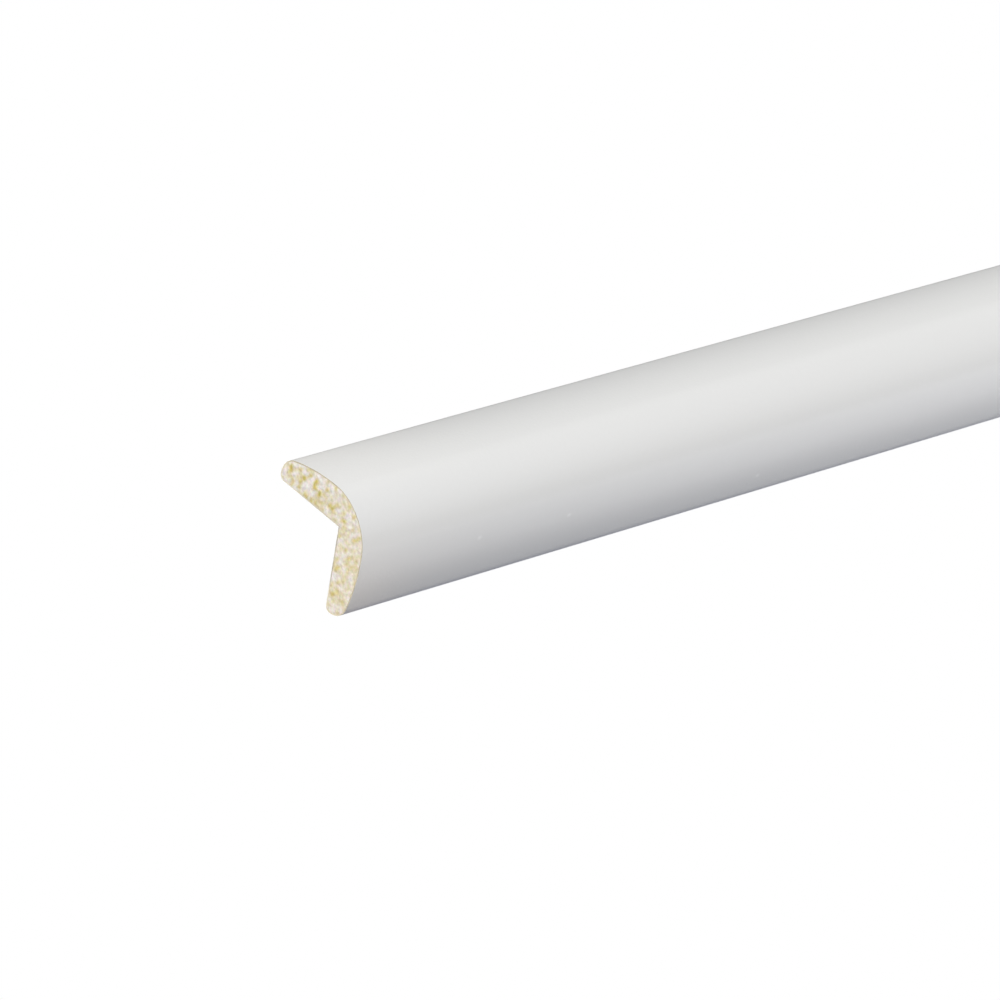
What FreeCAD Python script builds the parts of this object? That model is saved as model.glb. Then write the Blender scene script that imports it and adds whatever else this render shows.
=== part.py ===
# Corner guard moulding: a stick of cellular polystyrene trim that wraps an outside wall corner.
# The whole stick is one extrusion. Its section has two equal legs at a right angle, with flat backs
# that bed on the two walls, a round nose over the corner, crowned faces that thin away from the nose,
# and rounded lips. Its ends are plain saw cuts, square to the length.
# It lies on the floor on both lips with its nose up. X runs along the stick and Z is up, and the
# origin is on the floor, under the middle of the nose.
import FreeCAD, Part
import math
import os

# Driving dimensions, in millimetres
length = 1219.2  # the 4 ft stick that corner guards are sold as
leg_width = 19.05  # each leg, from the end of its lip to the outside of the other leg: 3/4 in
leg_thickness = 5.6  # the thickest part of a leg, where the nose runs into its face
lip_thickness = 3.3  # the leg at the very end, before the lip is rounded
nose_radius = 7.3  # round over the wall corner
lip_back_radius = 0.8  # small round from the flat back to the end of the lip

# The section is drawn as it sits on a wall corner: the inner corner is at (0, 0), and the flat backs
# run along the two axes. These sizes hold for the leg along the first axis, and the other mirrors it.
back_width = leg_width - leg_thickness
nose_centre = nose_radius - leg_thickness

# The crown is the arc that leaves the nose parallel to the back and ends at the lip's thickness.
crown_run = back_width - nose_centre
crown_drop = leg_thickness - lip_thickness
crown_radius = (crown_run**2 + crown_drop**2) / (2 * crown_drop)
crown_centre_height = crown_radius - leg_thickness

# The lip's face is the arc that runs on smoothly from the crown to the end of the lip's back round.
lip_rise = crown_centre_height + lip_back_radius
lip_face_radius = (crown_radius**2 - crown_run**2 - lip_rise**2) / (2 * (crown_radius - crown_run))

# As it lies on its lips, the inner corner stands this far above the floor.
lip_contact = back_width - (2 - math.sqrt(2)) * lip_back_radius
corner_height = lip_contact / math.sqrt(2)
WALL_BISECTOR_DEG = 45
STRAIGHT_DOWN_DEG = -90

ORIGIN = FreeCAD.Vector(0, 0, 0)
ALONG = FreeCAD.Vector(1, 0, 0)


def section_point(along_leg, across_leg):
    """A point of the section, by its distances along one leg's back and along the other's."""
    return FreeCAD.Vector(0, along_leg, across_leg)


def arc_about(centre, start, end):
    """The shorter arc about a centre, from one point to another."""
    towards_middle = (start - centre) + (end - centre)
    towards_middle.normalize()
    middle = centre + towards_middle * (start - centre).Length
    return Part.Arc(start, middle, end).toShape()


def leg_edges():
    """Edges of one leg, from the end of the nose, round the lip and along the back to the corner."""
    nose_end = section_point(nose_centre, -leg_thickness)
    lip_end = section_point(back_width, -lip_back_radius)
    back_end = section_point(back_width - lip_back_radius, 0)

    crown_centre = section_point(nose_centre, crown_centre_height)
    lip_face_centre = section_point(back_width - lip_face_radius, -lip_back_radius)
    lip_back_centre = section_point(back_width - lip_back_radius, -lip_back_radius)
    outwards = lip_face_centre - crown_centre
    outwards.normalize()
    crown_end = crown_centre + outwards * crown_radius

    return [
        arc_about(crown_centre, nose_end, crown_end),
        arc_about(lip_face_centre, crown_end, lip_end),
        arc_about(lip_back_centre, lip_end, back_end),
        Part.LineSegment(back_end, ORIGIN).toShape(),
    ]


def nose_edge():
    """The quarter round over the wall corner, from one leg's face to the other's."""
    centre = section_point(nose_centre, nose_centre)
    start = section_point(nose_centre, -leg_thickness)
    end = section_point(-leg_thickness, nose_centre)
    return arc_about(centre, start, end)


def section_face():
    """The whole section: one leg, its mirror image across the bisector, and the nose between them."""
    leg = leg_edges()
    across_bisector = section_point(1, -1)
    other_leg = [edge.mirror(ORIGIN, across_bisector) for edge in leg]
    ordered = Part.sortEdges([nose_edge(), *leg, *other_leg])[0]
    return Part.Face(Part.Wire(ordered))


def corner_guard():
    """The stick, extruded along X and laid on its lips with the nose up."""
    stick = section_face().extrude(ALONG * length)
    stick.translate(ALONG * (-length / 2))
    stick.rotate(ORIGIN, ALONG, STRAIGHT_DOWN_DEG - WALL_BISECTOR_DEG)
    stick.translate(FreeCAD.Vector(0, 0, corner_height))
    return stick


def main():
    os.makedirs("parts", exist_ok=True)
    stick = corner_guard()
    stick.exportStep("parts/corner_guard.step")
    box = stick.BoundBox
    print("corner_guard: valid", stick.isValid(), "solids", len(stick.Solids), "faces", len(stick.Faces))
    print(f"  box {box.XLength:.2f} x {box.YLength:.2f} x {box.ZLength:.2f} mm, lowest {box.ZMin:.4f}")
    print(f"  section {stick.Volume / length:.2f} mm2, volume {stick.Volume / 1000:.1f} cm3")
    print(f"  crown radius {crown_radius:.2f}, lip face radius {lip_face_radius:.2f}, corner {corner_height:.3f}")


main()
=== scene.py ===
# %% [markdown]
# # A corner guard moulding
# A corner guard is a strip of trim that covers an outside wall corner and takes the knocks there.
# This one is a stick of foamed polystyrene, extruded through a die, wrapped on its face in a white
# satin film and sawn to length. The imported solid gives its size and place. This lesson models the
# stick again with smooth arcs, opens the foam's cells on the two sawn ends, and finishes each surface.

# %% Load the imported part
import math

import bmesh
import bpy
from mathutils import Matrix, Vector, kdtree, noise


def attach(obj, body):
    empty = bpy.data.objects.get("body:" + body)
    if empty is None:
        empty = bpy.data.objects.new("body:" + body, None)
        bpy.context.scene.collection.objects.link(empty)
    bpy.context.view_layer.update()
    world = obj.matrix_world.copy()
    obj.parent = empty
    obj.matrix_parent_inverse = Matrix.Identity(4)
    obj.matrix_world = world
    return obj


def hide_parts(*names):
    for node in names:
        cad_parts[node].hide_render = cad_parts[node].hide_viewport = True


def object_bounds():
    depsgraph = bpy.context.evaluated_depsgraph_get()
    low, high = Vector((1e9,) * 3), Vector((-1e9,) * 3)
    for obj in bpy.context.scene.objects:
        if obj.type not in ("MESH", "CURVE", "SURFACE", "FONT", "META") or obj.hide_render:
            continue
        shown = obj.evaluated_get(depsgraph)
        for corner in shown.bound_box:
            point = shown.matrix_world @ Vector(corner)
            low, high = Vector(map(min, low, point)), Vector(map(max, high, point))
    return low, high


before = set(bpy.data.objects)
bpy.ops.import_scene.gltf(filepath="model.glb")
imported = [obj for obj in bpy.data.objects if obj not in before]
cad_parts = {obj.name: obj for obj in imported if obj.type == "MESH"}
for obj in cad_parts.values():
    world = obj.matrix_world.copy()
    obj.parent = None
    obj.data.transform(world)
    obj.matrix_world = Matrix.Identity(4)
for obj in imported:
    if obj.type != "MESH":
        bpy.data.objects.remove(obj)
cad_low, cad_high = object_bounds()
MM = 0.001
half_length = cad_high.x
print("packed nodes:", sorted(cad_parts))
print("packed box in mm:", [round(side / MM, 2) for side in cad_high - cad_low])

# %% [markdown]
# ## The section
# The die's opening is drawn from the wall corner that the stick fits on: two flat backs along the
# walls, a round nose, a crowned face on each leg and a rounded lip. The first five sizes below drive
# it, and the arcs' centres follow from the rule that each arc runs smoothly into the next. A list of
# points traced from a picture would give the same outline, but it could not follow a change of size.
# A point is named by its distances along the two backs. `lying` turns it to where it is on the floor:
# the stick lies on its two lips, nose up, and the lips' small back rounds touch the floor. Sawn foam
# springs back and stands a hair proud of the film round it, so the film ends that much short of the
# full length.

# %% Sizes of the section, in millimetres
LEG_WIDTH = 19.05
LEG_THICKNESS = 5.6
LIP_THICKNESS = 3.3
NOSE_RADIUS = 7.3
LIP_BACK_RADIUS = 0.8
FOAM_PROUD = 0.1

film_end = half_length - FOAM_PROUD * MM
back_width = LEG_WIDTH - LEG_THICKNESS
nose_centre = NOSE_RADIUS - LEG_THICKNESS
crown_run = back_width - nose_centre
crown_drop = LEG_THICKNESS - LIP_THICKNESS
crown_radius = (crown_run**2 + crown_drop**2) / (2 * crown_drop)
lip_rise = crown_radius - LEG_THICKNESS + LIP_BACK_RADIUS
lip_face_radius = (crown_radius**2 - crown_run**2 - lip_rise**2) / (2 * (crown_radius - crown_run))
crown_turn = math.atan2(back_width - lip_face_radius - nose_centre, lip_rise)
corner_height = (back_width - (2 - math.sqrt(2)) * LIP_BACK_RADIUS) / math.sqrt(2)


def lying(along_leg, across_leg):
    """A point of the section at the near end, in metres, from millimetres along the two backs."""
    sideways = (along_leg - across_leg) / math.sqrt(2)
    height = corner_height - (along_leg + across_leg) / math.sqrt(2)
    return Vector((-film_end, sideways * MM, height * MM))


inner_corner = lying(0, 0)
print(f"crown radius {crown_radius:.1f} mm, lip face radius {lip_face_radius:.2f} mm")

# %% [markdown]
# ## The camera
# The picture was taken with a long lens, close to square, looking down at the near end from the left.
# The vanishing point of the long edges and the two square legs give its focal length and direction.
# The camera is rolled so that the stick climbs to the right, as in the picture, and it is placed so
# that the near end's inner corner falls on its own pixel, at the distance that gives the leg its size.
# Turning the stick to suit an upright camera would be simpler, but then it would not lie on the floor.

# %% Camera at the photograph's viewing angle
PICTURE_SIDE_PX = 1000
FOCAL_LENGTH_PX = 5014
INNER_CORNER_PX = (338.7, 526.7)
SENSOR_MM = 36
CORNER_DEPTH = 0.6773
LOOK_ALONG = (0.5926, 0.0695, -0.8025)
ROUGHLY_UP = (0.2246, 0.9425, 0.2474)

look_along = Vector(LOOK_ALONG).normalized()
picture_right = look_along.cross(Vector(ROUGHLY_UP)).normalized()
picture_up = picture_right.cross(look_along)
pixel_size = CORNER_DEPTH / FOCAL_LENGTH_PX
corner_right = (INNER_CORNER_PX[0] - PICTURE_SIDE_PX / 2) * pixel_size
corner_up = (PICTURE_SIDE_PX / 2 - INNER_CORNER_PX[1]) * pixel_size
eye = inner_corner - look_along * CORNER_DEPTH - picture_right * corner_right - picture_up * corner_up

camera_data = bpy.data.cameras.new("camera")
camera_data.sensor_width = SENSOR_MM
camera_data.lens = FOCAL_LENGTH_PX / PICTURE_SIDE_PX * SENSOR_MM
camera = bpy.data.objects.new("camera", camera_data)
axes = Matrix((picture_right, picture_up, -look_along)).transposed()
camera.matrix_world = Matrix.Translation(eye) @ axes.to_4x4()
bpy.context.scene.collection.objects.link(camera)
bpy.context.scene.camera = camera
print(f"lens {camera_data.lens:.1f} mm, eye {[round(side, 4) for side in eye]}")

# %% [markdown]
# ## Drawing the section
# A point swung about a centre leaves an arc behind it, so the outline needs no list of points: one
# vertex starts at the top of the nose and is spun about the centre of each arc in turn, as a pair of
# compasses would draw it. A straight back then closes the half, and a mirror makes the other leg.
# Each vertex also remembers how far round the outline it is, for the UV map at the end.

# %% Draw half of the outline by spinning one point, then mirror it
ALONG = Vector((1, 0, 0))
NOSE_STEPS = 14
CROWN_STEPS = 12
LIP_FACE_STEPS = 18
LIP_BACK_STEPS = 12
SAME_PLACE = 1e-7

stick = bmesh.new()
way_round = stick.verts.layers.float.new("way_round")


def swing(point, centre, turn, steps):
    """Swings a vertex about a centre, leaving an arc of edges, and returns the arc's last vertex."""
    arc = bmesh.ops.spin(stick, geom=[point], cent=centre, axis=ALONG, angle=-turn, steps=steps)
    return next(item for item in arc["geom_last"] if isinstance(item, bmesh.types.BMVert))


nose_middle = lying(nose_centre, nose_centre)
nose_top = stick.verts.new(nose_middle + Vector((0, 0, NOSE_RADIUS * MM)))
nose_end = swing(nose_top, nose_middle, math.pi / 4, NOSE_STEPS)
crown_centre = lying(nose_centre, crown_radius - LEG_THICKNESS)
crown_end = swing(nose_end, crown_centre, crown_turn, CROWN_STEPS)
lip_face_centre = lying(back_width - lip_face_radius, -LIP_BACK_RADIUS)
lip_end = swing(crown_end, lip_face_centre, math.pi / 2 - crown_turn, LIP_FACE_STEPS)
lip_back_centre = lying(back_width - LIP_BACK_RADIUS, -LIP_BACK_RADIUS)
back_end = swing(lip_end, lip_back_centre, math.pi / 2, LIP_BACK_STEPS)
corner = bmesh.ops.extrude_vert_indiv(stick, verts=[back_end])["verts"][0]
corner.co = inner_corner

point = nose_top
walked = set()
while point is not corner:
    step = next(edge for edge in point.link_edges if edge not in walked)
    walked.add(step)
    onward = step.other_vert(point)
    onward[way_round] = point[way_round] + step.calc_length()
    point = onward
half_way_round = corner[way_round]

bmesh.ops.mirror(stick, geom=stick.verts[:] + stick.edges[:], axis="Y", merge_dist=SAME_PLACE)
print(f"outline of {len(stick.verts)} points, {2 * half_way_round / MM:.1f} mm round")

# %% [markdown]
# ## Pulling the stick
# The real stick leaves its die as an endless bar and is cut to length. Here the outline is filled with
# one face, and that face is pulled along in a single extrusion. A curve with a bevel profile would make
# the same bar, but a mesh can be cut and inset at its ends straight away. Nothing changes along the
# length, so the long faces are left whole, which also keeps the shading of the film even.

# %% Extrude the section to the full length
end_face = bmesh.ops.contextual_create(stick, geom=stick.edges[:])["faces"][0]
pulled = bmesh.ops.extrude_face_region(stick, geom=[end_face])["geom"]
far_verts = [item for item in pulled if isinstance(item, bmesh.types.BMVert)]
bmesh.ops.translate(stick, verts=far_verts, vec=ALONG * 2 * film_end)
bmesh.ops.recalc_face_normals(stick, faces=stick.faces)
print(f"stick of {len(stick.faces)} faces, {2 * film_end / MM:.1f} mm long")

# %% [markdown]
# ## Which face is which
# The film wraps the nose, the crowned faces and the lips. The flat backs, which nobody sees once the
# stick is up, are the bare skin of the extrusion, and the ends are bare foam. Each face is given the
# number of its finish now, while a face is still easy to tell by the way it looks: a back is a face
# that looks down and in towards the middle, and an end is one that looks along the stick.

# %% Number the finishes
FILM, SKIN, FOAM, FILM_EDGE, SKIN_EDGE, SHADED_SKIN_EDGE = range(6)

for face in stick.faces:
    facing, middle = face.normal, face.calc_center_median()
    if abs(facing.x) > 0.5:
        face.material_index = FOAM
    elif facing.z < 0 and facing.y * middle.y < 0:
        face.material_index = SKIN
    else:
        face.material_index = FILM
counts = [sum(face.material_index == finish for face in stick.faces) for finish in (FILM, SKIN, FOAM)]
print("film, skin and foam faces:", counts)

# %% [markdown]
# ## The sawn ends
# A saw leaves the film and the skin as a thin line round the end, and tears the foam's cells open
# inside it. The line is darkened with painted shade, and the skin's line on the lower leg, the side
# turned from the key light, has a darker painted shade than the other leg's. Insetting both ends gives
# the line a rim of its own. The flat inside is then sliced by many planes, up and across, into a grid
# fine enough to hold the cells, which is quicker than modelling each cell and needs no modifier.
# Slicing also gives the rim the grid's points, so nothing is left open between the two.

# %% Inset a rim and slice the ends into a grid
ACROSS = Vector((0, 1, 0))
UP = Vector((0, 0, 1))
RIM = 0.2 * MM
GRID = 0.12 * MM

ends = [face for face in stick.faces if face.material_index == FOAM]
for face in bmesh.ops.inset_region(stick, faces=ends, thickness=RIM, use_even_offset=True)["faces"]:
    beside = {near.material_index for edge in face.edges for near in edge.link_faces}
    if SKIN not in beside:
        face.material_index = FILM_EDGE
    else:
        # The lower leg's skin line gets a finish of its own, for a darker painted shade.
        face.material_index = SHADED_SKIN_EDGE if face.calc_center_median().y < 0 else SKIN_EDGE

end_edges = {edge for face in ends for edge in face.edges}
end_verts = {vert for face in ends for vert in face.verts}
sliced = [*ends, *end_edges, *end_verts]
for direction in (ACROSS, UP):
    lowest, highest = cad_low.dot(direction), cad_high.dot(direction)
    for slice_number in range(1, math.ceil((highest - lowest) / GRID)):
        place = direction * (lowest + slice_number * GRID)
        sliced = bmesh.ops.bisect_plane(
            stick, geom=sliced, dist=SAME_PLACE, plane_co=place, plane_no=direction
        )["geom"]
print(f"ends sliced into {sum(isinstance(item, bmesh.types.BMFace) for item in sliced)} faces")

# %% [markdown]
# ## The foam's cells
# Foamed polystyrene is full of gas cells, and a saw cut shows them as shallow cups with pale walls
# between. Cells that are modelled one by one look like a mosaic, with an edge round each. So these come
# from a soft noise that fills space, in two sizes, and the saw shows one slice of it, smeared a little
# by the blade. A much wider noise makes some patches livelier than others. The two ends cut through
# different slices, so they differ as real cuts do.

# %% Fill space with foam
CELL_MM = 1.07
CELL_WEIGHT = 0.72
SMALL_CELL_MM = 0.6
SMALL_CELL_WEIGHT = 0.48
PATCH_MM = 8.37
PATCH_WEIGHT = 0.43
PATCH_SHIFT = Vector((-47.2, 0, 0))
SAW_PLACE = Vector((61.9, 0, 0))
CELL_SMEAR = 1.53
MIDDLE_OPENNESS = 0.39


def foam_place(place, smear):
    """A place in the foam, in millimetres from the near end, smeared upwards as the saw drags it."""
    return Vector((place.x + film_end, place.y, place.z / smear)) / MM + SAW_PLACE


def open_cell(place):
    """How far the saw has opened the foam at a place, from 0 on a wall to 1 in a deep cell."""
    here = foam_place(place, CELL_SMEAR)
    cells = CELL_WEIGHT * noise.noise(here / CELL_MM)
    cells += SMALL_CELL_WEIGHT * noise.noise(here / SMALL_CELL_MM)
    contrast = 1 + PATCH_WEIGHT * noise.noise((here + PATCH_SHIFT) / PATCH_MM)
    return min(max(MIDDLE_OPENNESS + contrast * cells, 0), 1)


print(f"openness at the near end's inner corner: {open_cell(inner_corner):.2f}")

# %% [markdown]
# ## Opening the cells
# Each grid point keeps how far its cell is open as an attribute, for the finish to colour. It also
# moves by that number, in for a cup and out for a wall, with a finer torn grain on top, so the cells
# are real relief in the mesh. A Displace modifier could move the points too, but it can't keep the
# number for the finish. All of the relief fades to nothing at the rim, and no point stands out past
# the full length.

# %% Move the grid points in and out
CELL_DEPTH = 0.08 * MM
TORN_MM = 0.42
TORN_SMEAR = 2.0
TORN_HEIGHT = 0.06 * MM
EDGE_FADE = 0.4 * MM

openness = stick.verts.layers.float.new("cell_openness")
inside = {vert for item in sliced if isinstance(item, bmesh.types.BMFace) for vert in item.verts}
rim_verts = [vert for vert in inside if any(face.material_index != FOAM for face in vert.link_faces)]
rim_tree = kdtree.KDTree(len(rim_verts))
for number, vert in enumerate(rim_verts):
    rim_tree.insert(vert.co, number)
rim_tree.balance()

for vert in inside:
    vert[openness] = open_cell(vert.co)
    torn = noise.noise(foam_place(vert.co, TORN_SMEAR) / TORN_MM)
    fade = min(rim_tree.find(vert.co)[2] / EDGE_FADE, 1)
    rise = fade * (TORN_HEIGHT * torn - CELL_DEPTH * (vert[openness] - MIDDLE_OPENNESS))
    vert.co.x += math.copysign(min(rise, FOAM_PROUD * MM), vert.co.x)
mean_openness = sum(vert[openness] for vert in inside) / len(inside)
print(f"{len(inside)} grid points, mean openness {mean_openness:.2f}")

# %% [markdown]
# ## A map for baking
# A bake of the finishes into one square picture, with a map of its own, would give a sawn end of two
# centimetres hardly a pixel beside a face of more than a metre. So the stick brings its own UV map:
# the two ends lie side by side along the top, large, and the long faces are unrolled below them,
# squeezed along the length, where the finish hardly changes. `way_round` gives the unrolled place.

# %% Unroll the stick into the map
BAKED_SIDE_PX = 1024
MARGIN = 0.015
SIDES_SHARE = 0.64
END_SHARE = 0.5

bake_map = stick.loops.layers.uv.new("OFBake")
end_scale = (END_SHARE - 2 * MARGIN) / (cad_high.y - cad_low.y)
for face in stick.faces:
    middle = face.calc_center_median()
    for loop in face.loops:
        place = loop.vert.co
        if face.material_index in (FILM, SKIN):
            across = MARGIN + (1 - 2 * MARGIN) * (place.x + half_length) / (2 * half_length)
            round_by = math.copysign(loop.vert[way_round], middle.y) / half_way_round
            up = MARGIN + (SIDES_SHARE - 2 * MARGIN) * (round_by + 1) / 2
        else:
            across = MARGIN + END_SHARE * (middle.x > 0) + end_scale * (place.y - cad_low.y)
            up = SIDES_SHARE + MARGIN + end_scale * place.z
        loop[bake_map].uv = (across, up)
print(f"ends mapped at {end_scale * BAKED_SIDE_PX * MM:.0f} pixels a millimetre")

# %% [markdown]
# ## From a mesh to a piece
# The stick is smooth along its arcs and has true edges at the inner corner and round the sawn ends. A
# modifier could find them by angle alone, but torn foam is steep everywhere. So on the foam every edge
# is smooth, the line round it is sharp, and only the other edges go by the angle between their faces.
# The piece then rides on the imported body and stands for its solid.

# %% Mark the edges and make the piece
SHARP_ANGLE = math.radians(30)

for edge in stick.edges:
    one, other = edge.link_faces
    if FOAM in (one.material_index, other.material_index):
        edge.smooth = one.material_index == other.material_index
    else:
        edge.smooth = edge.calc_face_angle() < SHARP_ANGLE
for face in stick.faces:
    face.smooth = True
mesh = bpy.data.meshes.new("corner_guard_moulding")
stick.to_mesh(mesh)
stick.free()
moulding = bpy.data.objects.new("corner_guard_moulding", mesh)
bpy.context.scene.collection.objects.link(moulding)
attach(moulding, "root")
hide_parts("corner_guard")
print(f"moulding of {len(mesh.polygons)} faces")

# %% [markdown]
# ## Building a finish
# A finish is a tree of nodes. `add_node` puts one node in it, with its settings, its input values and
# its links, and the settings come first because they decide which inputs a node has. Colours are
# written as the sRGB hex that a colour picker shows, which `linear` turns into the light that Blender
# works with. Patterns are placed by object coordinates, in metres, so a pattern's scale is one over
# its size. The finishes are put on in the order that they were numbered in.

# %% Helpers for finishes
def linear(hex_colour):
    """An sRGB hex colour as linear red, green, blue and alpha."""
    parts = [int(hex_colour[place : place + 2], 16) / 255 for place in (1, 3, 5)]
    return [part / 12.92 if part <= 0.04045 else ((part + 0.055) / 1.055) ** 2.4 for part in parts] + [1.0]


def add_node(tree, kind, settings=None, inputs=None):
    """Adds a node, sets it up, and gives each named input a value or links it to a socket."""
    node = tree.nodes.new(kind)
    for name, value in (settings or {}).items():
        setattr(node, name, value)
    for name, value in (inputs or {}).items():
        if isinstance(value, bpy.types.NodeSocket):
            tree.links.new(value, node.inputs[name])
        else:
            node.inputs[name].default_value = value
    return node


def new_finish(name):
    """An empty finish: its material, its tree and the piece's own coordinates."""
    material = bpy.data.materials.new(name)
    material.use_nodes = True
    material.node_tree.nodes.clear()
    coordinates = add_node(material.node_tree, "ShaderNodeTexCoord").outputs["Object"]
    return material, material.node_tree, coordinates


def finish_with(tree, shader):
    """Sends a shader to the finish's output."""
    add_node(tree, "ShaderNodeOutputMaterial", {}, {"Surface": shader.outputs["BSDF"]})


def put_on(material):
    """Gives the moulding its next finish."""
    mesh.materials.append(material)
    print(f"finish {len(mesh.materials) - 1}: {material.name}")


print(f"the grey #808080 is {linear('#808080')[0]:.3f} in linear light")

# %% [markdown]
# ## The white satin film
# The face is wrapped in a thin white polypropylene film, calendered smooth and glued on as the stick is
# pulled along. That leaves three marks on a satin white: faint lines along the pull, a slight orange
# peel where the film follows the foam, and now and then a nib of dust caught under it. As geometry
# they would need millions of faces on a stick this long, so all three are bumps. The lines are a noise
# stretched along the stick, and they change the gloss too. Real lines are too fine to show in the
# render, so these are drawn coarser. Each nib is the core of a Voronoi cell, and the cells are shifted
# so that two nibs fall where the picture shows them. Each nib is also painted lighter, as a painted
# highlight on its top.

# %% Make the film
LINE_WIDTH = 1.4 * MM
LINE_STRETCH = 200
LINE_DEPTH = 0.002 * MM
SATIN_ROUGHNESS = (0.34, 0.42)
PEEL_SIZE = 0.5 * MM
PEEL_DEPTH = 0.02 * MM
NIB_SPACING = 9 * MM
NIB_RADIUS = 0.6 * MM
NIB_HEIGHT = 0.03 * MM
NIB_SHIFT = Vector((560.7, -6.8, 376.8)) * MM


def satin_film():
    """Calendered white film on foam: satin, with faint lines, a slight orange peel and a few nibs, each
    lightened by a painted highlight.
    """
    material, tree, place = new_finish("satin_white_film")
    stretched = add_node(
        tree, "ShaderNodeMapping", {}, {"Vector": place, "Scale": (1 / LINE_STRETCH, 1, 1)}
    )
    lines = add_node(
        tree, "ShaderNodeTexNoise", {},
        {"Vector": stretched.outputs["Vector"], "Scale": 1 / LINE_WIDTH, "Detail": 2.0},
    )
    gloss = add_node(
        tree, "ShaderNodeMapRange", {},
        {"Value": lines.outputs["Fac"], "To Min": SATIN_ROUGHNESS[0], "To Max": SATIN_ROUGHNESS[1]},
    )
    line_bump = add_node(
        tree, "ShaderNodeBump", {}, {"Height": lines.outputs["Fac"], "Distance": LINE_DEPTH}
    )
    peel = add_node(
        tree, "ShaderNodeTexNoise", {}, {"Vector": place, "Scale": 1 / PEEL_SIZE, "Detail": 1.0}
    )
    peel_bump = add_node(
        tree, "ShaderNodeBump", {},
        {"Height": peel.outputs["Fac"], "Distance": PEEL_DEPTH, "Normal": line_bump.outputs["Normal"]},
    )
    shifted = add_node(tree, "ShaderNodeMapping", {}, {"Vector": place, "Location": NIB_SHIFT})
    nib_place = add_node(
        tree, "ShaderNodeTexVoronoi", {},
        {"Vector": shifted.outputs["Vector"], "Scale": 1 / NIB_SPACING},
    )
    nibs = add_node(
        tree, "ShaderNodeMapRange", {"interpolation_type": "SMOOTHSTEP"},
        {"Value": nib_place.outputs["Distance"], "From Min": NIB_RADIUS / NIB_SPACING, "From Max": 0.0},
    )
    bump = add_node(
        tree, "ShaderNodeBump", {},
        {"Height": nibs.outputs["Result"], "Distance": NIB_HEIGHT, "Normal": peel_bump.outputs["Normal"]},
    )
    # Painted highlight: the film's colour is lightened on each nib.
    colour = add_node(
        tree, "ShaderNodeMix", {"data_type": "RGBA"},
        {"Factor": nibs.outputs["Result"], "A": linear("#E6E6E6"), "B": linear("#F2F2F2")},
    )
    shader = add_node(
        tree, "ShaderNodeBsdfPrincipled", {},
        {
            "Base Color": colour.outputs["Result"],
            "Roughness": gloss.outputs["Result"],
            "IOR": 1.49,
            "Normal": bump.outputs["Normal"],
        },
    )
    finish_with(tree, shader)
    return material


put_on(satin_film())

# %% [markdown]
# ## The bare skin on the backs
# The backs keep the skin that foam gets where it slides along the die's hot steel: closed, cream and
# dull, with fine lines drawn along it. The same stretched noise as on the film makes them, finer and
# deeper, and here it changes the colour as well, because bare skin has no film to hide its streaks.

# %% Make the skin
SKIN_LINE_WIDTH = 0.7 * MM
SKIN_LINE_STRETCH = 250
SKIN_LINE_DEPTH = 0.02 * MM


def extruded_skin():
    """Bare polystyrene skin as it left the die: cream, dull, with fine lines drawn along it."""
    material, tree, place = new_finish("extruded_polystyrene_skin")
    stretched = add_node(
        tree, "ShaderNodeMapping", {}, {"Vector": place, "Scale": (1 / SKIN_LINE_STRETCH, 1, 1)}
    )
    lines = add_node(
        tree, "ShaderNodeTexNoise", {},
        {"Vector": stretched.outputs["Vector"], "Scale": 1 / SKIN_LINE_WIDTH, "Detail": 3.0},
    )
    colour = add_node(
        tree, "ShaderNodeMix", {"data_type": "RGBA"},
        {"Factor": lines.outputs["Fac"], "A": linear("#E9E2D3"), "B": linear("#F3EEE3")},
    )
    bump = add_node(
        tree, "ShaderNodeBump", {}, {"Height": lines.outputs["Fac"], "Distance": SKIN_LINE_DEPTH}
    )
    shader = add_node(
        tree, "ShaderNodeBsdfPrincipled", {},
        {
            "Base Color": colour.outputs["Result"],
            "Roughness": 0.6,
            "IOR": 1.59,
            "Normal": bump.outputs["Normal"],
        },
    )
    finish_with(tree, shader)
    return material


put_on(extruded_skin())

# %% [markdown]
# ## The sawn foam
# Torn cell walls scatter the light and look nearly white, with a trace of pink. The bottom of an open
# cell looks yellow, because light has gone through more plastic there. So the colour follows the
# openness that each grid point keeps, through a ramp of shades, and colour and relief belong to the
# same cells. A cell texture would have a pattern of its own that misses the cups. Two fine noises then
# break the ramp up: one leans the hue to green or to pink, and the other speckles the grains.

# %% Make the foam
CELL_SHADES = ("#F2ECE8", "#F2E9DD", "#EDE3CA", "#E7DBB4", "#DFCF94", "#D0BE66")
HUE_SIZE = 0.5 * MM
SPECK_SIZE = 0.45 * MM
SPECK_CONTRAST = 0.15


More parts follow.
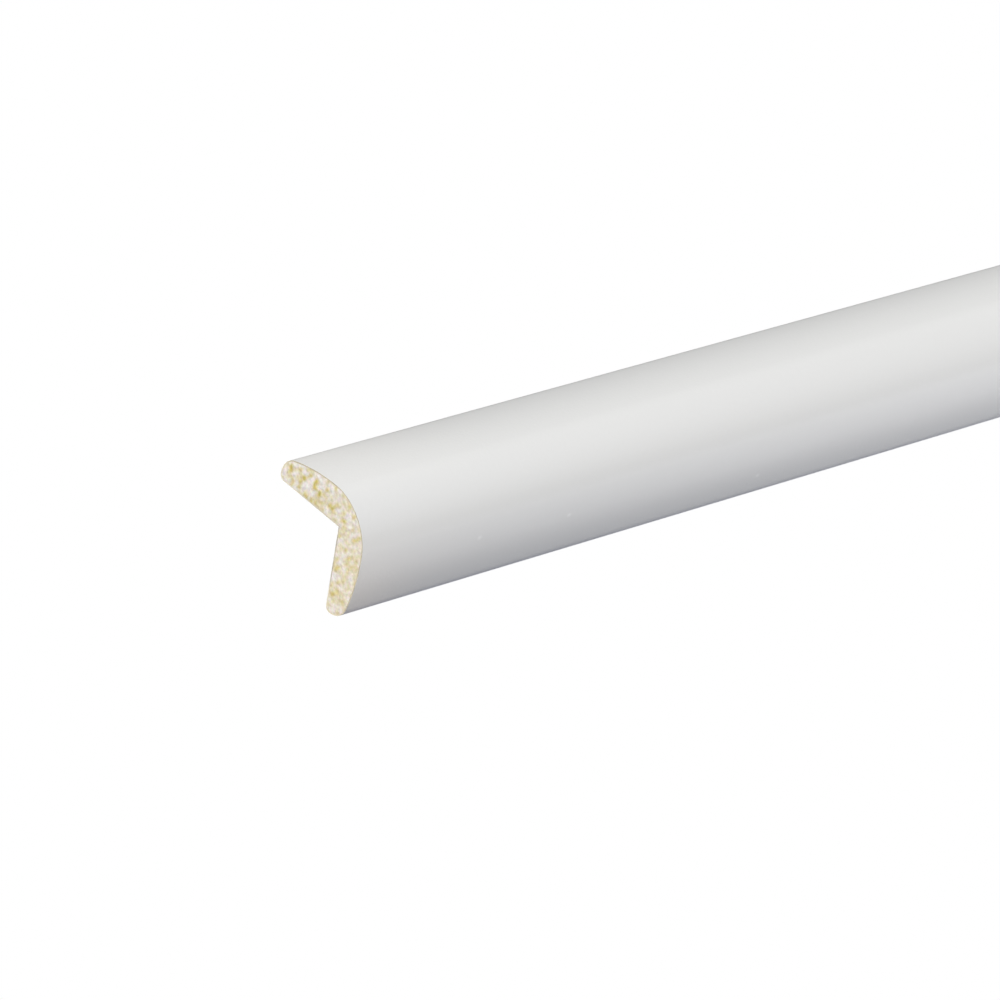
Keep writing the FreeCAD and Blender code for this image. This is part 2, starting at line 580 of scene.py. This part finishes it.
def sawn_foam():
    """Cellular polystyrene as the saw leaves it: pale pinkish walls, and cells yellow inside."""
    material, tree, place = new_finish("sawn_cellular_polystyrene")
    cell = add_node(tree, "ShaderNodeAttribute", {"attribute_name": "cell_openness"})
    colour = add_node(tree, "ShaderNodeValToRGB", {}, {"Fac": cell.outputs["Fac"]})
    stops = colour.color_ramp.elements
    stops[0].color = linear(CELL_SHADES[0])
    stops[1].color = linear(CELL_SHADES[-1])
    for number, cell_shade in enumerate(CELL_SHADES[1:-1], start=1):
        stops.new(number / (len(CELL_SHADES) - 1)).color = linear(cell_shade)
    hue = add_node(
        tree, "ShaderNodeTexNoise", {}, {"Vector": place, "Scale": 1 / HUE_SIZE, "Detail": 0.0}
    )
    lean = add_node(
        tree, "ShaderNodeMapRange", {"interpolation_type": "SMOOTHSTEP"},
        {"Value": hue.outputs["Fac"], "From Min": 0.3, "From Max": 0.7},
    )
    tint = add_node(
        tree, "ShaderNodeMix", {"data_type": "RGBA"},
        {"Factor": lean.outputs["Result"], "A": linear("#F9FFF9"), "B": linear("#FFF9FF")},
    )
    tinted = add_node(
        tree, "ShaderNodeMix", {"data_type": "RGBA", "blend_type": "MULTIPLY"},
        {"Factor": 1.0, "A": colour.outputs["Color"], "B": tint.outputs["Result"]},
    )
    specks = add_node(
        tree, "ShaderNodeTexNoise", {}, {"Vector": place, "Scale": 1 / SPECK_SIZE, "Detail": 1.0}
    )
    brightness = add_node(
        tree, "ShaderNodeMapRange", {},
        {
            "Value": specks.outputs["Fac"],
            "From Min": 0.25,
            "From Max": 0.75,
            "To Min": 1 - SPECK_CONTRAST,
            "To Max": 1 + SPECK_CONTRAST,
        },
    )
    speckled = add_node(
        tree, "ShaderNodeVectorMath", {"operation": "SCALE"},
        {"Vector": tinted.outputs["Result"], "Scale": brightness.outputs["Result"]},
    )
    shader = add_node(
        tree, "ShaderNodeBsdfPrincipled", {},
        {"Base Color": speckled.outputs["Vector"], "Roughness": 0.7, "IOR": 1.59},
    )
    finish_with(tree, shader)
    return material


put_on(sawn_foam())

# %% [markdown]
# ## The cut edges of the film and the skin
# Where the saw went through the film and the skin, their edges show as a thin line round the foam. Its
# dark shade is painted shade of the rough cut, and the skin's line on the lower leg, turned from the key
# light, has the darkest painted shade. The line is broken into patches, and it pales at the lips, where
# film and skin thin out. It could be drawn in the foam's own finish, but a finish of its own, on the
# rim's faces, keeps it sharp however close the camera comes. One function makes all three lines, each
# from its pale and its dark shade.

# %% Make the cut edges
BREAK_SIZE = 0.9 * MM
LIP_LINE_PALE_BELOW = 1.5 * MM
LIP_LINE_DARK_ABOVE = 4.5 * MM


def cut_edge(name, pale, dark):
    """The thin line of film or skin where it was sawn through, darkened by painted shade: broken, and pale
    at the lips.
    """
    material, tree, place = new_finish(name)
    patches = add_node(tree, "ShaderNodeTexNoise", {}, {"Vector": place, "Scale": 1 / BREAK_SIZE})
    place_parts = add_node(tree, "ShaderNodeSeparateXYZ", {}, {"Vector": place})
    above_lips = add_node(
        tree, "ShaderNodeMapRange", {"interpolation_type": "SMOOTHSTEP"},
        {
            "Value": place_parts.outputs["Z"],
            "From Min": LIP_LINE_PALE_BELOW,
            "From Max": LIP_LINE_DARK_ABOVE,
        },
    )
    # Painted shade: the line darkens in patches, most of all away from the lips.
    painted_line_shade = add_node(
        tree, "ShaderNodeMath", {"operation": "MULTIPLY"},
        {0: patches.outputs["Fac"], 1: above_lips.outputs["Result"]},
    )
    colour = add_node(
        tree, "ShaderNodeMix", {"data_type": "RGBA"},
        {"Factor": painted_line_shade.outputs["Value"], "A": linear(pale), "B": linear(dark)},
    )
    shader = add_node(
        tree, "ShaderNodeBsdfPrincipled", {},
        {"Base Color": colour.outputs["Result"], "Roughness": 0.6, "IOR": 1.49},
    )
    finish_with(tree, shader)
    return material


# The dark shades of the three lines are painted shade; the lower leg's skin line is the darkest.
put_on(cut_edge("cut_film_edge", "#EBE0C6", "#A99F88"))
put_on(cut_edge("cut_skin_edge", "#EDE4CE", "#CDC3AC"))
put_on(cut_edge("shaded_skin_edge", "#EDE4CE", "#91887A"))

# %% [markdown]
# ## The white table
# The picture shows the stick on pure white with no shadow, as on a table of lit white acrylic. A plain
# pale floor would turn grey and take a shadow, so this one glows at exactly white. It is far wider than
# the stick, so no other view finds its rim, and it is kept out of the light that reaches the stick:
# the lamps below give every tone of the face, and the table's full glow would wash them out.

# %% Lay the stick on a lit white table
TABLE_HALF_WIDTH = 30.0

table = bmesh.new()
bmesh.ops.create_grid(table, x_segments=1, y_segments=1, size=TABLE_HALF_WIDTH)
table_mesh = bpy.data.meshes.new("white_table")
table.to_mesh(table_mesh)
table.free()
white_table = bpy.data.objects.new("white_table", table_mesh)
bpy.context.scene.collection.objects.link(white_table)
white_table.visible_diffuse = False
white_table.visible_glossy = False
white_table.visible_shadow = False

lit_acrylic = bpy.data.materials.new("lit_white_acrylic")
lit_acrylic.use_nodes = True
acrylic_tree = lit_acrylic.node_tree
acrylic_tree.nodes.clear()
glow = add_node(acrylic_tree, "ShaderNodeEmission", {}, {"Color": linear("#FFFFFF"), "Strength": 1.0})
add_node(acrylic_tree, "ShaderNodeOutputMaterial", {}, {"Surface": glow.outputs["Emission"]})
table_mesh.materials.append(lit_acrylic)
print(f"table {2 * TABLE_HALF_WIDTH:.0f} m wide")

# %% [markdown]
# ## Light from all round
# A white studio sends a little light back from every side, which keeps the shaded side of the stick
# from going black. Walls could be modelled for it, but an even white sky does the same with nothing
# to see in a reflection. The picture's white is plain white, so its tones are shown as they are, with
# the Standard view and not one that rolls the whites off.

# %% Light the room
ROOM_LIGHT = 0.158

world = bpy.data.worlds.new("studio")
world.use_nodes = True
world.node_tree.nodes.clear()
sky = add_node(
    world.node_tree, "ShaderNodeBackground", {}, {"Color": linear("#FFFFFF"), "Strength": ROOM_LIGHT}
)
add_node(world.node_tree, "ShaderNodeOutputWorld", {}, {"Surface": sky.outputs["Background"]})
bpy.context.scene.world = world
bpy.context.scene.view_settings.view_transform = "Standard"
print(f"room light {ROOM_LIGHT}")

# %% [markdown]
# ## The suns
# A satin white face shows its shape only by its tones. Read across the stick, the picture's tones are
# brightest just above the nose, fall slowly to the upper lip and steeply to the lower one. That gives a
# key from the upper left and a weak rim light along the upper lip. Both are suns, because a lamp near
# the stick would fade along it. A faint blue sun from below leaves the lower lip the little of the
# table's glow that the picture shows. A last sun lights the far end, which the other lamps leave in
# shade. It comes from below, because light along the stick would skim the film and glare on it.

# %% Set up the suns
def add_lamp(name, kind, direction, strength, hex_colour):
    """A lamp that shines from a direction, with its strength and colour, and that no camera sees."""
    data = bpy.data.lights.new(name, kind)
    data.energy = strength
    data.color = linear(hex_colour)[:3]
    lamp = bpy.data.objects.new(name, data)
    lamp.rotation_mode = "QUATERNION"
    lamp.rotation_quaternion = Vector(direction).to_track_quat("Z", "Y")
    lamp.visible_camera = False
    bpy.context.scene.collection.objects.link(lamp)
    print(f"{name}: {kind.lower()} lamp, strength {strength}")
    return lamp


def soft_sun(name, direction, strength, spread_deg, hex_colour):
    """A far, wide light that shines evenly along the whole stick, in watts a square metre."""
    sun = add_lamp(name, "SUN", direction, strength, hex_colour)
    sun.data.angle = math.radians(spread_deg)


soft_sun("key", (-0.66, 0.2765, 0.698), 3.6, 34, "#FFFFFE")
soft_sun("rim", (0.664, 0.748, 0), 0.203, 38, "#FEFFF7")
soft_sun("far_end", (0.85, 0, -0.53), 2.8, 10, "#FFFFFF")
soft_sun("table_glow", (0, -0.7, -0.71), 0.32, 60, "#5896FF")

# %% [markdown]
# ## The fill and the cards
# The lower leg grows lighter away from the near end, which no sun can give. So its soft fill is a long
# panel beside the stick that starts well past the near end. A small warm card close to each lip gives
# the glow that the near end has. The lower card stands a little out past the end, so that its glow
# soon dies away along the leg.

# %% Set up the fill and the cards
PANEL_LENGTH = 1.25
PANEL_HEIGHT = 0.3
PANEL_START = 0.25
PANEL_OFFSET = Vector((0, -0.5, 0.06))
CARD_SIDE = 20 * MM
UPPER_CARD_OFFSET = Vector((0, 16, 2)) * MM
LOWER_CARD_OFFSET = Vector((-6, -8, 5)) * MM
LIP_SIDEWAYS = 10.5 * MM
LIP_HEIGHT = 4 * MM


def panel(name, aim, offset, length, height, watts, hex_colour):
    """An upright panel of light, set off from the point that it is aimed at."""
    light = add_lamp(name, "AREA", offset, watts, hex_colour)
    light.data.shape = "RECTANGLE"
    light.data.size = length
    light.data.size_y = height
    light.location = aim + offset


near_point = Vector((-half_length, 0, 0))
panel_aim = near_point + ALONG * (PANEL_START + PANEL_LENGTH / 2)
upper_lip = near_point + Vector((0, LIP_SIDEWAYS, LIP_HEIGHT))
lower_lip = near_point + Vector((0, -LIP_SIDEWAYS, LIP_HEIGHT))
panel("fill", panel_aim, PANEL_OFFSET, PANEL_LENGTH, PANEL_HEIGHT, 3.52, "#FEFEFF")
panel("upper_card", upper_lip, UPPER_CARD_OFFSET, CARD_SIDE, CARD_SIDE, 0.00063, "#FFF8E9")
panel("lower_card", lower_lip, LOWER_CARD_OFFSET, CARD_SIDE, CARD_SIDE, 0.0002, "#FFCF80")
